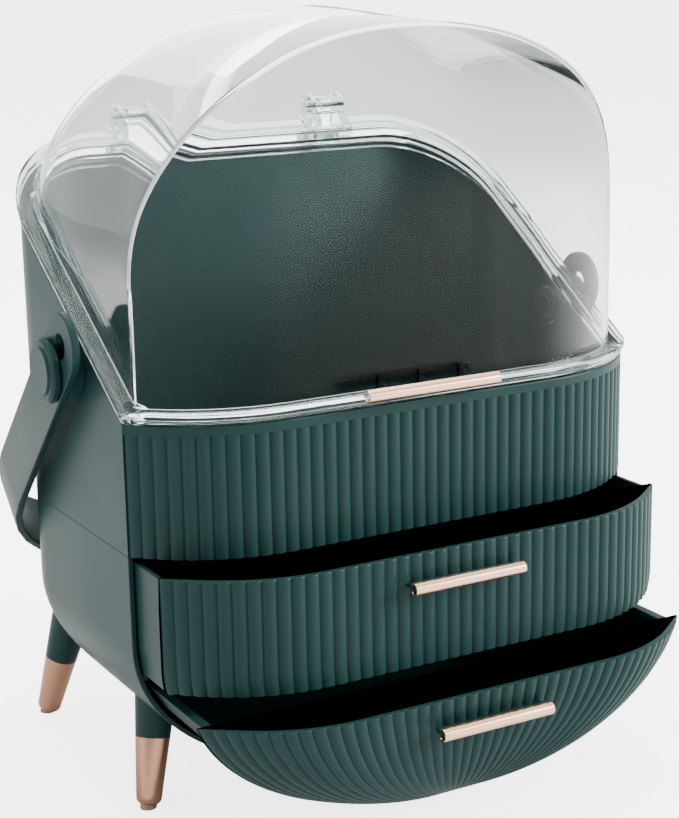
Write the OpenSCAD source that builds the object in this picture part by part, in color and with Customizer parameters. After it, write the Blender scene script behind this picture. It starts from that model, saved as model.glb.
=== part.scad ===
// Dustproof makeup organizer: a hooded upper case over a belly-shaped cabinet with two
// bow-fronted drawers, a swinging carrying handle and four splayed legs.
// Millimetres. X runs to the right, Y to the back, Z up from the surface it stands on.

/* [Case] */
// Width over the two flat side walls
case_w = 250; // [210:1:290]
// Depth from the front corners to the rear wall
case_d = 145; // [125:1:170]
// Wall thickness of the moulded shells
wall = 2.2; // [1.6:0.1:3]
// Height of the seam between cabinet and upper shell
seam_z = 124.4; // [118:0.1:140]
// Height of the upper shell's front edge
rim_z = 180; // [165:1:200]
// Slope of the rim along the sides, in degrees
rim_slope = 33; // [20:1:36]
// Radius of the two rear corners in plan
rear_r = 48; // [30:1:60]
// How far the front bows out past the side walls
bow = 29.7; // [15:0.1:40]
// Width of the flat middle of the bowed front
bow_flat = 126; // [90:1:160]

/* [Belly] */
// Height where the side walls begin to curve under
belly_z = 84.3; // [79:0.1:92]
// Height of the belly's lowest line
belly_low = 10.3; // [8:0.1:18]
// Exponent of the belly curve, where 2 is an ellipse
belly_n = 2.05; // [1.8:0.05:2.8]
// Exponent that draws the lower front's bow in faster than its width
bow_n = 1.28; // [1:0.02:1.6]

/* [Flutes] */
// Number of flutes across a front
flute_count = 44; // [24:1:60]
// Depth of a flute from crest to groove
flute_depth = 1.1; // [0.5:0.1:2]
// Height of the smooth band above the upper shell's flutes
band_h = 4; // [2:0.5:8]

/* [Cover] */
// Thickness of the clear cover
clear_wall = 2; // [1.4:0.1:3]
// Distance from the case side to the hood wall
hood_inset = 6; // [4:0.5:9]
// Height where the hood's arch springs
spring_z = 234; // [220:1:250]
// Rise of the arch above its spring line
arch_rise = 100; // [80:1:105]
// Extra height of the hood's crown at the back
crown_climb = 5; // [0:0.5:8]
// Radius where the crown turns down to the back
crown_r = 55; // [45:1:65]
// Exponent of the arch curve
arch_n = 2.2; // [2:0.1:2.6]
// Thickness of the clear frame on the rim
frame_t = 2.4; // [1.8:0.1:3]
// Thickness of the cover's flange
flange_t = 3; // [2:0.1:4]
// How far the flange stands out past the case
flange_out = 1.5; // [0.5:0.1:2.5]

/* [Drawers] */
// Height of the shelf's top face
shelf_z = 72; // [66:0.5:76]
// Shelf thickness
shelf_t = 1.5; // [1.2:0.1:2.5]
// Wall thickness of a drawer
drawer_wall = 2; // [1.5:0.1:2.5]
// Distance of a drawer front's ends in from the case side
front_in = 1; // [0.6:0.1:2]
// Gap between the upper drawer and the cabinet wall
upper_gap = 0.8; // [0.5:0.1:1.2]
// Gap between the lower drawer and the cabinet wall
lower_gap = 1.8; // [1.5:0.1:2.6]
// Height that the lower drawer's floor has above the belly's lowest line
lower_floor = 10.3; // [9:0.1:14]
// How far the upper drawer stands open
upper_out = 26.7; // [0:0.1:60]
// How far the lower drawer stands open
lower_out = 50.6; // [0:0.1:80]
// Full travel of a drawer, from shut to its stop
drawer_travel = 97; // [85:1:110]

/* [Pulls] */
// Length of a drawer's pull
pull_l = 54; // [40:1:70]
// Length of the cover's pull
cover_pull_l = 64; // [50:1:80]
// Diameter of a pull's rolled tube
pull_d = 5.6; // [4.5:0.1:7]
// Depth from a drawer's top edge to the middle of its pull
pull_drop = 12.3; // [9:0.1:16]
// Depth of the ledge that carries a pull
ledge_out = 6; // [4:0.5:9]

/* [Handle] */
// Height of the handle's pivot
pivot_z = 194; // [188:1:198]
// Distance of the pivot behind the front corners
pivot_y = 52; // [48:1:60]
// Clearance between the hood's back and the grip that swings over it
swing_gap = 4; // [3:0.5:12]
// Clearance between the rear wall and the stowed grip
stow_gap = 5; // [4:0.5:12]
// Width of the strap
strap_w = 29; // [22:1:32]
// Thickness of the strap
strap_t = 3.5; // [2.5:0.1:5]
// Length of the stand-off between case and strap
standoff = 5.7; // [4:0.1:8]
// Travel of the pivot along the strap's keyhole
slot_travel = 17; // [8:1:22]
// Diameter of the pivot pin
pivot_d = 10; // [8:0.5:11]
// Diameter of the round button over the pivot
button_d = 28; // [22:1:30]
// How far the stowed handle hangs below level, in degrees
stow_angle = 45; // [40:1:50]

/* [Legs] */
// Splay of a leg to the side, in degrees
splay_x = 12; // [0:1:14]
// Splay of a leg to the front or back, in degrees
splay_y = 12; // [0:1:14]
// Distance of a foot in from the side of the case
foot_in = 13.5; // [10:0.5:30]
// Distance of the front feet behind the front corners
front_foot_y = 23.5; // [18:0.5:40]
// Distance of the rear feet behind the rear wall
rear_foot_out = 2; // [-20:0.5:4]
// Leg diameter at the belly
leg_top_d = 18; // [14:0.5:20]
// Diameter at the foot
foot_d = 11; // [8:0.5:14]
// Height of the metal-look cap
cap_h = 31; // [20:1:36]

/* [Hidden] */

green = [0.10, 0.23, 0.21];
dark_green = [0.07, 0.17, 0.155];
clear = [0.85, 0.9, 0.92, 0.35];
rose = [0.85, 0.64, 0.55];
steel = [0.7, 0.7, 0.72];

half_w = case_w / 2;
big = 400;                       // longer than the whole object, for cutters
arc_steps = 8;                   // facets in a quarter of a plan corner
row_turn = 10;                   // largest turn of the belly curve from row to row
belly_drop = belly_z - belly_low;
bottom_z = belly_low + 1.2;      // height of the flat underside
run_gap = 0.3;                   // clearance between pieces that slide
turn_gap = 0.05;                 // radial clearance of a pin in its bore

// Drawers: how far each is drawn in from the case sides, and its heights
upper_side = wall + upper_gap;
lower_side = wall + lower_gap;
shelf_low = shelf_z - shelf_t;
upper_over = 1.6;                // gap over the upper drawer
lower_over = 3.5;                // gap over the lower drawer
side_drop = 1.5;                 // how far a tray's sides lie below the front's top edge
upper_top = seam_z - upper_over;
lower_top = shelf_low - lower_over;
upper_low = shelf_z + run_gap;
tray_low = belly_low + lower_floor;
upper_pull_z = upper_top - pull_drop;
lower_pull_z = lower_top - pull_drop;
shut_gap = 0.4;                  // behind a shut drawer
tray_back = case_d - wall - shut_gap;
stop_w = 60;                     // width of a drawer stop
stop_t = 2;
stop_drop = 1.6;
upper_tray_top = upper_top - side_drop;
lower_tray_top = lower_top - side_drop;
upper_rear_top = upper_tray_top - 5;      // top edge of the low rear wall of a tray
lower_rear_top = lower_tray_top - 2.5;

// Crown of the clear hood, and the handle's reach past it and past the rear wall
crown_z = spring_z + arch_rise;
hood_back = case_d - hood_inset;
crown_y = hood_back - crown_r;   // where the crown begins to turn down
swing_reach = norm([crown_y - pivot_y, crown_z + crown_climb - crown_r - pivot_z]) + crown_r + swing_gap;
stow_reach = (case_d + stow_gap - pivot_y + strap_w / 2 * sin(stow_angle)) / cos(stow_angle);
handle_reach = max(swing_reach, stow_reach) + strap_t;

// Places along Y are measured from the front corners. The finished part is moved so that
// its origin lies under the middle of its bounding box, with the drawers standing open.
rear_most = pivot_y + handle_reach * cos(stow_angle) + strap_w / 2 * sin(stow_angle);
front_most = -lower_out + bow_at(lower_pull_z) - ledge_out - pull_d / 2;
centre_y = (rear_most + front_most) / 2;

// ---- Shared outlines ----

// Share of the full half width that is left at height z, for an outline drawn in by `in`
function belly_share(z, in) = z >= belly_z ? 1 :
    pow(max(0, 1 - pow((belly_z - z) / (belly_drop - in), belly_n)), 1 / belly_n);

// Height on the belly curve at angle a, and the angle for a height
function belly_height(a, in) = belly_z - (belly_drop - in) * pow(sin(a), 2 / belly_n);
function belly_angle(z, in) = z >= belly_z ? 0 :
    asin(pow(min(1, (belly_z - z) / (belly_drop - in)), belly_n / 2));

// How far a drawer front bows out at height z
function bow_at(z) = -bow * pow(belly_share(z, front_in), bow_n);

// Radius of the front's corner arcs for a front that is `w` wide from edge to edge
function bow_r(w) = (pow((w - bow_flat) / 2, 2) + pow(bow, 2)) / (2 * bow);
function bow_angle(w) = asin((w - bow_flat) / 2 / bow_r(w));

// Length of half a front, measured along its curve
function bow_half(w) = bow_flat / 2 + bow_r(w) * bow_angle(w) * PI / 180;

// Point at distance l from the middle of a front w wide, pushed out by `out`
function bow_point(w, l, out = 0) = let (
        past = max(0, abs(l) - bow_flat / 2),
        a = past / bow_r(w) * 180 / PI)
    [sign(l) * (min(abs(l), bow_flat / 2) + bow_r(w) * sin(a) + out * sin(a)),
     -bow + bow_r(w) * (1 - cos(a)) - out * cos(a)];

// Convex flutes: how far a point at share f of the front lies behind the crest line
flute_cuts = 3;                  // samples across one flute
front_cols = flute_count * flute_cuts;
function flute_back(k) = let (f = (k % flute_cuts) / flute_cuts)
    (k == 0 || k == front_cols) ? 0 : flute_depth * pow(abs(2 * f - 1), 2);

// The fluted front of a piece w wide, from left to right
function fluted_front(w) = [for (k = [0 : front_cols])
    bow_point(w, bow_half(w) * (2 * k / front_cols - 1), -flute_back(k))];

// Points of an arc about [cx, cy] from angle a0 to angle a1
function arc(cx, cy, r, a0, a1) = [for (k = [0 : arc_steps]) let (a = a0 + (a1 - a0) * k / arc_steps)
    [cx + r * cos(a), cy + r * sin(a)]];

// A smooth front, drawn in by `in`
function smooth_front(in) = let (
        r = bow_r(case_w) - in,
        a = asin((half_w - in - bow_flat / 2) / r),
        cy = -bow + bow_r(case_w))
    concat(arc(-bow_flat / 2, cy, r, 270 - a, 270), arc(bow_flat / 2, cy, r, 270, 270 + a));

// The rear of the case in plan, from right to left
function rear_line(in) = let (r = rear_r - in, cx = half_w - rear_r, cy = case_d - rear_r)
    concat(arc(cx, cy, r, 0, 90), arc(-cx, cy, r, 90, 180));

function plan_outline(in) = concat(smooth_front(in), rear_line(in));

// Plan behind the front corners only, as for the cabinet and the drawer trays
function box_outline(in, front, back_in) = concat([[-half_w + in, front], [half_w - in, front]],
    [for (p = rear_line(in)) [p[0], p[1] - back_in]]);

// Row heights of a bowl from `top` down to `low`
function bowl_heights(in, low, top) = let (
        a0 = belly_angle(top, in),
        a1 = belly_angle(low, in),
        n = ceil((a1 - a0) / row_turn))
    concat(top > belly_z ? [top] : [], [for (k = [0 : n]) belly_height(a0 + (a1 - a0) * k / n, in)]);

// A bowl: the plan behind the front corners, drawn in by `in` and scaled with the belly
module bowl(in, front, low, top, back_in = 0) {
    plan = box_outline(in, front, back_in);
    zs = bowl_heights(in, low, top);
    m = len(plan);
    last = len(zs) - 1;
    polyhedron([for (z = zs, p = plan) [p[0] * belly_share(z, in), p[1] * belly_share(z, in), z]],
        concat([[for (j = [m - 1 : -1 : 0]) j], [for (j = [0 : m - 1]) last * m + j]],
            [for (i = [0 : last - 1], j = [0 : m - 1]) let (k = (j + 1) % m)
                [i * m + j, i * m + k, (i + 1) * m + k, (i + 1) * m + j]]),
        convexity = 4);
}

// Everything between two heights
module slab(low, high) {
    translate([-big / 2, -big / 2, low]) cube([big, big, high - low]);
}

// ---- The slanted rim ----
rise = tan(rim_slope);
function rim_knee(off) = -off * tan(rim_slope / 2);
function rim_at(y, off) =
    rim_z + max(off, max(y, rim_knee(off)) * rise + off / cos(rim_slope));
function rim_line(off) = [[-big, rim_z + off], [rim_knee(off), rim_z + off],
    [big, rim_z + big * rise + off / cos(rim_slope)]];

// A prism along X between two offsets from the rim
module rim_band(low, high) {
    rotate([90, 0, 90])
        translate([0, 0, -big / 2])
            linear_extrude(big)
                polygon(concat(rim_line(low), [for (k = [2 : -1 : 0]) rim_line(high)[k]]));
}

// A prism along Z of an outline between two heights
module upright(outline, low, high) {
    translate([0, 0, low]) linear_extrude(high - low) polygon(outline);
}

// A clear ring that follows the rim between two offsets from it
module rim_ring(outer_in, inner_in, low, high) {
    intersection() {
        difference() {
            upright(plan_outline(outer_in), seam_z, rim_z + case_d);
            upright(plan_outline(inner_in), 0, rim_z + big);
        }
        rim_band(low, high);
    }
}

module placed() {
    translate([0, -centre_y, 0]) children();
}

// ---- Upper shell ----
floor_t = 2.4;
floor_z = seam_z + floor_t;
border_z = rim_z - band_h;
lip_z = 1.2;                     // thickness of the cabinet's top lip
lip_w = 8;                       // width of that lip
hook_x = half_w - 8;             // middle of the snap hooks
hook_w = 12;
hook_t = 1.6;
hook_barb = 1;
hook_head = 0.8;                 // height of the barb
hook_play = 0.2;                 // around a hook in its slot
hook_ys = [for (f = [1, 3, 5]) (case_d - rear_r) * f / 6];

module snap_hook() {
    low = seam_z - lip_z - hook_play - hook_head;
    translate([hook_x - hook_t / 2, -hook_w / 2, low])
        cube([hook_t, hook_w, seam_z - low + hook_play]);
    translate([hook_x - hook_t / 2, -hook_w / 2, low])
        cube([hook_t + hook_barb, hook_w, hook_head]);
}

module upper_shell() {
    color(green) placed() {
        difference() {
            union() {
                upright(concat(fluted_front(case_w), rear_line(0)), seam_z, border_z);
                intersection() {
                    upright(plan_outline(0), border_z, rim_z + case_d);
                    rim_band(-big / 2, 0);
                }
            }
            upright(plan_outline(wall + flute_depth), floor_z, rim_z + case_d);
            translate([-big / 2, pivot_y, pivot_z])
                rotate([0, 90, 0])
                    cylinder(d = pivot_d + 2 * turn_gap, h = big, $fn = 48);
        }
        for (y = hook_ys, s = [0, 1]) mirror([s, 0, 0]) translate([0, y, 0]) snap_hook();
        translate([-stop_w / 2, stop_y(upper_side, upper_rear_top) - stop_t, seam_z - stop_drop])
            cube([stop_w, stop_t, stop_drop]);
    }
}

// ---- Lower cabinet ----
rail_x = 30;                     // middle of the runner ribs
rail_w = 3;
rail_l = 40;
ledge_t = 1.6;

module lower_cabinet() {
    color(green) placed() difference() {
        union() {
            difference() {
                bowl(0, 0, bottom_z, seam_z);
                bowl(wall, -1, bottom_z + wall, seam_z - lip_z);
                upright(box_outline(wall + lip_w, -1, 0), seam_z - lip_z - 1, seam_z + 1);
                // Notch in the rear lip for the upper drawer's stop tab
                translate([-stop_w / 2, rear_r, seam_z - lip_z - 1])
                    cube([stop_w, case_d - wall - rear_r, lip_z + 2]);
            }
            // Ribs that carry the shelf
            intersection() {
                difference() {
                    bowl(wall - 0.5, 1, bottom_z + wall, seam_z);
                    bowl(wall + lower_gap - run_gap, 0, bottom_z + wall, seam_z);
                }
                translate([-big / 2, 0, shelf_low - ledge_t])
                    cube([big, case_d - 1.2 * rear_r, ledge_t]);
            }
            // Runners under the lower drawer
            intersection() {
                for (x = [-rail_x, rail_x])
                    translate([x - rail_w / 2, 2, 0]) cube([rail_w, rail_l, tray_low - run_gap]);
                bowl(wall - 0.5, 0, bottom_z + wall - 0.5, seam_z);
            }
        }
        for (y = hook_ys, s = [0, 1]) mirror([s, 0, 0])
            translate([hook_x - hook_t / 2 - hook_play, y - hook_w / 2 - hook_play, seam_z - lip_w])
                cube([hook_t + 2 * hook_play, hook_w + 2 * hook_play, 2 * lip_w]);
        for (leg = legs) at_leg_screw(leg) {
            cylinder(d = screw_d + 2 * turn_gap, h = 2 * screw_l, center = true, $fn = 24);
            translate([0, 0, -screw_l])
                cylinder(d = screw_head_d + 2 * hook_play, h = screw_l, $fn = 32);
        }
    }
}

module drawer_shelf() {
    color(dark_green) placed() {
        intersection() {
            bowl(wall + 0.15, 1, bottom_z + wall + 1, seam_z, 0.2);
            slab(shelf_low, shelf_z);
        }
        translate([-stop_w / 2, stop_y(lower_side, lower_rear_top) - stop_t, shelf_low - stop_drop])
            cube([stop_w, stop_t, stop_drop]);
    }
}

// ---- Clear rim frame, hinge ears and cover ----
frame_in = hood_inset + clear_wall;
shadow_t = 0.6;                  // height of the dark groove under the frame
seat_gap = 0.2;                  // between frame and closed cover
flange_low = frame_t + seat_gap;
flange_high = flange_low + flange_t;
hinge_y = case_d + 4;
hinge_z = rim_at(case_d, flange_high) + 7.5;
hinge_pin_d = 3;
ear_xs = [43, 58.5];             // middles of the two ears of a hinge
ear_t = 2.4;
ear_r = 6;
ear_half = 5.5;                  // half the depth of an ear's foot
ear_mid = (ear_xs[0] + ear_xs[1]) / 2;
tongue_w = 22;                   // rear tongue of the frame that carries a pair of ears
knuckle_d = 8;

module ear_profile() {
    // A fin with an upright front edge, a rounded top and a short upright rear edge
    front = hinge_y - ear_half;
    back = hinge_y + ear_half;
    polygon(concat([[front, rim_at(front, shadow_t)]],
        [for (a = [150 : -20 : 10]) [hinge_y + ear_r * cos(a), hinge_z + ear_r * sin(a)]],
        [[back, rim_at(back, 2 * frame_t)], [back, rim_at(back, 0)], [front, rim_at(front, 0)]]));
}

module rim_frame() {
    color(clear) placed() difference() {
        union() {
            rim_ring(0.8, frame_in, 0, shadow_t);
            rim_ring(-0.3, frame_in, shadow_t, frame_t);
            rim_ring(wall + flute_depth + 0.2, wall + flute_depth + 1.8, -4, shadow_t);
            for (s = [-1, 1]) {
                intersection() {
                    translate([s * ear_mid - tongue_w / 2, hood_back, 0])
                        cube([tongue_w, hinge_y + ear_half - hood_back, big]);
                    rim_band(shadow_t, frame_t);
                }
                for (x = ear_xs)
                    translate([s * x - ear_t / 2, 0, 0])
                        rotate([90, 0, 90]) linear_extrude(ear_t) ear_profile();
            }
        }
        translate([-big / 2, hinge_y, hinge_z])
            rotate([0, 90, 0])
                cylinder(d = hinge_pin_d, h = big, $fn = 32);
    }
}

module hinge_pins() {
    span = ear_xs[1] - ear_xs[0] + ear_t + 1.6;
    color(steel) placed() for (s = [-1, 1])
        translate([s * ear_mid - span / 2, hinge_y, hinge_z])
            rotate([0, 90, 0])
                cylinder(d = hinge_pin_d, h = span, $fn = 32);
}

// The hood is lofted through cross-sections that stand one behind the other
arch_cols = 26;

function hood_top(y) = y <= crown_y ? crown_z + crown_climb * max(0, y) / crown_y :
    crown_z + crown_climb - crown_r + sqrt(max(0, pow(crown_r, 2) - pow(y - crown_y, 2)));

// Half width of the hood in plan at depth y, drawn in by `in` from the case side
function hood_half(y, in) = let (
        r = bow_r(case_w) - in,
        cy = -bow + bow_r(case_w),
        rr = rear_r - in,
        ry = case_d - rear_r)
    y < 0 ? min(half_w - in, bow_flat / 2 + sqrt(max(0, pow(r, 2) - pow(cy - y, 2)))) :
    y > ry ? half_w - rear_r + sqrt(max(0, pow(rr, 2) - pow(y - ry, 2))) : half_w - in;

// Cross-section at depth y, from the left foot over the arch to the right foot. In front
// of the corners the arch keeps its size and the plan cuts it off. At the back it shrinks
// in width and height, and its spring line climbs to the rim.
function hood_section(y, in, drop, foot) = let (
        w = hood_half(y, in),
        reach = y <= 0 ? half_w - in : w,
        top = hood_top(y) - drop,
        low = rim_at(y, foot),
        late = max(0, (y - crown_y) / (hood_back - crown_y)),
        base = spring_z + max(0, low + 2 - spring_z) * pow(late, 2),
        cut_a = acos(pow(min(1, w / reach), arch_n / 2)),
        foot_a = asin(pow(max(0, low + 3 - base) / (top - base), arch_n / 2)),
        a0 = max(cut_a, foot_a))
    concat([[-w, y, low]],
        [for (k = [0 : arch_cols]) let (a = a0 + (180 - 2 * a0) * k / arch_cols)
            [-sign(cos(a)) * reach * pow(abs(cos(a)), 2 / arch_n), y,
             base + (top - base) * pow(abs(sin(a)), 2 / arch_n)]],
        [[w, y, low]]);

// Depths of the sections: the bowed front, the long middle and the rounded back
bow_rows = 8;
function bow_depth(in, x) = -bow + bow_r(case_w) -
    sqrt(pow(bow_r(case_w) - in, 2) - pow(max(0, x - bow_flat / 2), 2));
function hood_depths(in, back) = let (
        reach = half_w - in,
        wide = acos(pow(bow_flat / 2 / reach, arch_n / 2)))
    concat([for (k = [bow_rows : -1 : 0])
            bow_depth(in, reach * pow(cos(wide * k / bow_rows), 2 / arch_n))],
        [crown_y * 0.45, crown_y * 0.8, crown_y],
        [for (b = [20 : 14 : 76]) crown_y + (back - crown_y) * sin(b)], [back]);

module skin_pair(outer, inner) {
    // Closed thin wall between two stacks of sections with open feet
    rows = len(outer);
    cols = len(outer[0]);
    n = rows * cols;
    function o(i, j) = i * cols + j;
    function p(i, j) = n + i * cols + j;
    // Diagonals mirror from left to right, so both halves bulge alike
    skin = [for (i = [0 : rows - 2], j = [0 : cols - 2]) each j < (cols - 1) / 2 ? [
        [o(i, j), o(i + 1, j), o(i + 1, j + 1)], [o(i, j), o(i + 1, j + 1), o(i, j + 1)],
        [p(i, j), p(i + 1, j + 1), p(i + 1, j)], [p(i, j), p(i, j + 1), p(i + 1, j + 1)]] : [
        [o(i, j), o(i + 1, j), o(i, j + 1)], [o(i + 1, j), o(i + 1, j + 1), o(i, j + 1)],
        [p(i, j), p(i, j + 1), p(i + 1, j)], [p(i + 1, j), p(i, j + 1), p(i + 1, j + 1)]]];
    ends = [[for (j = [0 : cols - 1]) o(0, j)], [for (j = [cols - 1 : -1 : 0]) o(rows - 1, j)],
        [for (j = [cols - 1 : -1 : 0]) p(0, j)], [for (j = [0 : cols - 1]) p(rows - 1, j)]];
    m = cols - 1;
    feet = [for (i = [0 : rows - 2]) each [
        [o(i, 0), p(i, 0), p(i + 1, 0)], [o(i, 0), p(i + 1, 0), o(i + 1, 0)],
        [o(i, m), o(i + 1, m), p(i + 1, m)], [o(i, m), p(i + 1, m), p(i, m)]]];
    sills = [[o(0, 0), o(0, m), p(0, m), p(0, 0)],
        [o(rows - 1, m), o(rows - 1, 0), p(rows - 1, 0), p(rows - 1, m)]];
    polyhedron([for (row = outer) each row, for (row = inner) each row],
        concat(skin, ends, feet, sills), convexity = 6);
}

module cover_shell() {
    outer_ys = hood_depths(hood_inset, hood_back);
    inner_ys = hood_depths(hood_inset + clear_wall, hood_back - clear_wall);
    foot = flange_high - flange_t / 6;
    skin_pair([for (y = outer_ys) hood_section(y, hood_inset, 0, foot)],
        [for (y = inner_ys) hood_section(y, hood_inset + clear_wall, clear_wall, foot)]);
}

lip_t = 2.4;                     // thickness of the lip that a pull clips over
tab_w = 40;
gusset_h = 6;                    // height of the ribs that stiffen the tab
cover_pull_y = -bow - ledge_out;
cover_pull_z = rim_z + flange_high + 0.6;

module cover_flange() {
    difference() {
        rim_ring(-flange_out, frame_in, flange_low, flange_high);
        for (s = [-1, 1])
            translate([s * ear_mid - tongue_w / 2 - 1, case_d - frame_in / 2, 0])
                cube([tongue_w + 2, rear_r, big]);
    }
}

module cover_knuckles() {
    span = ear_xs[1] - ear_xs[0] - ear_t - 2 * run_gap;
    for (s = [-1, 1])
        translate([s * ear_mid - span / 2, 0, 0])
            rotate([90, 0, 90])
                linear_extrude(span)
                    difference() {
                        union() {
                            translate([hinge_y, hinge_z]) circle(d = knuckle_d, $fn = 40);
                            polygon([[hood_back - 1, rim_at(hood_back, flange_high) - 0.5],
                                [hinge_y - 1, hinge_z - knuckle_d / 2 + 0.3],
                                [hinge_y - 1, hinge_z + knuckle_d / 2 - 0.3],
                                [hood_back - 1, hinge_z + knuckle_d / 2]]);
                        }
                        translate([hinge_y, hinge_z])
                            circle(d = hinge_pin_d + 2 * turn_gap, $fn = 40);
                    }
}

module cover_tab() {
    translate([-cover_pull_l / 2 + 1, cover_pull_y, cover_pull_z - lip_t / 2])
        cube([cover_pull_l - 2, -bow + 1 - cover_pull_y, lip_t]);
    front = -bow - flange_out;
    back = -bow + hood_inset + 0.5;
    for (x = [-tab_w / 2, 0, tab_w / 2])
        translate([x - 1, 0, cover_pull_z])
            rotate([90, 0, 90])
                linear_extrude(2)
                    polygon([[back, 0], [back, gusset_h], [front, lip_t / 2], [front, 0]]);
}

module cover_hood() {
    color(clear) placed() union() {
        cover_shell();
        cover_flange();
        cover_knuckles();
        cover_tab();
    }
}

// ---- Pulls ----
pull_wall = 0.9;

module pull_tube(length) {
    rotate([0, 90, 0])
        translate([0, 0, -length / 2])
            linear_extrude(length)
                difference() {
                    circle(d = pull_d, $fn = 48);
                    circle(d = pull_d - 2 * pull_wall, $fn = 48);
                    translate([-lip_t / 2 - 0.1, 0]) square([lip_t + 0.2, pull_d]);
                }
}

module cover_pull() {
    color(rose) placed()
        translate([0, cover_pull_y, cover_pull_z]) pull_tube(cover_pull_l);
}

// ---- Drawers ----

// One row of a front: the plan curve at height z, drawn in with the belly
function front_row(plan, z, in) = let (e = belly_share(z, in))
    [for (q = plan) [q[0] * e, min(0, q[1]) * pow(e, bow_n), z]];

// The inner face meets the tray's inner face `edge` from the middle at its ends, and keeps
// one wall behind the grooves between them
function inner_plan(w, edge) = [for (k = [0 : front_cols]) let (
        q = bow_point(w, bow_half(w) * (2 * k / front_cols - 1), -drawer_wall - flute_depth),
        from_end = min(k, front_cols - k))
    from_end == 0 ? [sign(q[0]) * edge, 0] :
    [max(-edge, min(edge, q[0])), min(-0.3 * from_end, q[1])]];

// A hollow fluted front before a tray that stands `side` in from the case side
module fluted_shell(side, rows_out, rows_in) {
    w = case_w - 2 * front_in;
    in = side + drawer_wall;
    plan_out = fluted_front(w);
    plan_in = inner_plan(w, half_w - in);
    outer = [for (z = rows_out) front_row(plan_out, z, front_in)];
    inner = [for (z = rows_in) front_row(plan_in, z, in)];
    m = front_cols;
    n = len(rows_out);
    last = n - 1;
    base_mid = 2 * n * (m + 1);      // middle of the straight rear edge under the front
    bed_mid = base_mid + 1;          // the same point on the front's inner floor
    function o(i, j) = i * (m + 1) + j;
    function p(i, j) = (n + i) * (m + 1) + j;
    skins = [for (i = [0 : last - 1], j = [0 : m - 1]) each [
        [o(i, j), o(i, j + 1), o(i + 1, j + 1)], [o(i, j), o(i + 1, j + 1), o(i + 1, j)],
        [p(i, j), p(i + 1, j + 1), p(i, j + 1)], [p(i, j), p(i + 1, j), p(i + 1, j + 1)]]];
    rim = [for (j = [0 : m - 1]) each [
        [o(0, j), p(0, j), p(0, j + 1)], [o(0, j), p(0, j + 1), o(0, j + 1)]]];
    floors = [for (j = [0 : m - 1]) each [
        [base_mid, o(last, j), o(last, j + 1)], [bed_mid, p(last, j + 1), p(last, j)]]];
    backs = [for (i = [0 : last - 1]) each [
        [o(i, 0), o(i + 1, 0), p(i + 1, 0)], [o(i, 0), p(i + 1, 0), p(i, 0)],
        [o(i, m), p(i + 1, m), o(i + 1, m)], [o(i, m), p(i, m), p(i + 1, m)]]];
    sill = [[o(last, 0), base_mid, bed_mid], [o(last, 0), bed_mid, p(last, 0)],
        [o(last, m), bed_mid, base_mid], [o(last, m), p(last, m), bed_mid]];
    polyhedron(concat([for (row = outer) each row], [for (row = inner) each row],
            [[0, 0, rows_out[last]], [0, 0, rows_in[last]]]),
        concat(skins, rim, floors, backs, sill), convexity = 8);
}

// Place of the rear wall's outer face at height z, and of the stop that its tab runs against
function rear_at(side, z) = tray_back * belly_share(z, side);
function stop_y(side, z) = rear_at(side, z) - drawer_wall - drawer_travel;

// Tray behind a front: floor, two sides, a lower rear wall and a stop tab. The top of the
// sides is `rim_w` wide.
tab_half = 8;                    // half the width of the stop tab
tab_gap = 0.4;                   // over the stop tab
rim_t = 1.6;                     // thickness of a widened top edge
module tray(side, low, top, rear_top, tab_top, rim_w) {
    t = drawer_wall;
    back_in = case_d - side - tray_back;
    rear = rear_at(side, rear_top);
    difference() {
        bowl(side, 0, low, top, back_in);
        bowl(side + t, -1, low + t, top - rim_t, back_in);
        bowl(side + rim_w, -1, low + t, top + 1, back_in);
        translate([-big / 2, rear - rear_r, rear_top]) cube([big, big, big]);
    }
    translate([-tab_half, rear - t, rear_top - 1]) cube([2 * tab_half, t, tab_top - rear_top + 1]);
}

upper_front_low = shelf_z + 2;   // bottom edge of the upper front
upper_rows = [upper_top, belly_z, (belly_z + upper_front_low) / 2, upper_front_low];
lower_bed = tray_low + drawer_wall;
lower_steps = 8;                 // rows of facets down the lower front

// Row heights from the top edge down to height `low`
function belly_rows(in, low) = let (first = belly_angle(lower_top, in), last = belly_angle(low, in))
    [for (k = [0 : lower_steps]) belly_height(first + (last - first) * k / lower_steps, in)];
lower_rows_out = belly_rows(front_in, bottom_z);
lower_rows_in = belly_rows(lower_side + drawer_wall, lower_bed);

module upper_drawer_tray() {
    color(green) placed() translate([0, -upper_out, 0])
        tray(upper_side, upper_low, upper_tray_top, upper_rear_top, seam_z - tab_gap, drawer_wall);
}

module upper_drawer_front() {
    rows_in = [for (z = upper_rows) max(z, upper_front_low + drawer_wall)];
    color(green) placed() translate([0, -upper_out, 0])
        fluted_shell(upper_side, upper_rows, rows_in);
}

module pull_ledge(front_y, z, touch_y) {
    translate([-pull_l / 2 + 1, front_y, z - lip_t / 2])
        cube([pull_l - 2, touch_y - front_y, lip_t]);
}

module upper_drawer_ledge() {
    color(green) placed() translate([0, -upper_out, 0])
        pull_ledge(-bow - ledge_out, upper_pull_z, -bow);
}

module upper_drawer_pull() {
    color(rose) placed()
        translate([0, -upper_out - bow - ledge_out, upper_pull_z]) pull_tube(pull_l);
}

module lower_drawer_tray() {
    color(green) placed() translate([0, -lower_out, 0])
        tray(lower_side, tray_low, lower_tray_top, lower_rear_top, shelf_low - tab_gap, 2 * drawer_wall);
}

module lower_drawer_front() {
    color(green) placed() translate([0, -lower_out, 0])
        fluted_shell(lower_side, lower_rows_out, lower_rows_in);
}

lower_touch = bow_at(lower_pull_z + lip_t / 2);
lower_pull_y = bow_at(lower_pull_z) - ledge_out;

module lower_drawer_ledge() {
    color(green) placed() translate([0, -lower_out, 0])
        pull_ledge(lower_pull_y, lower_pull_z, lower_touch);
}

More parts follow.
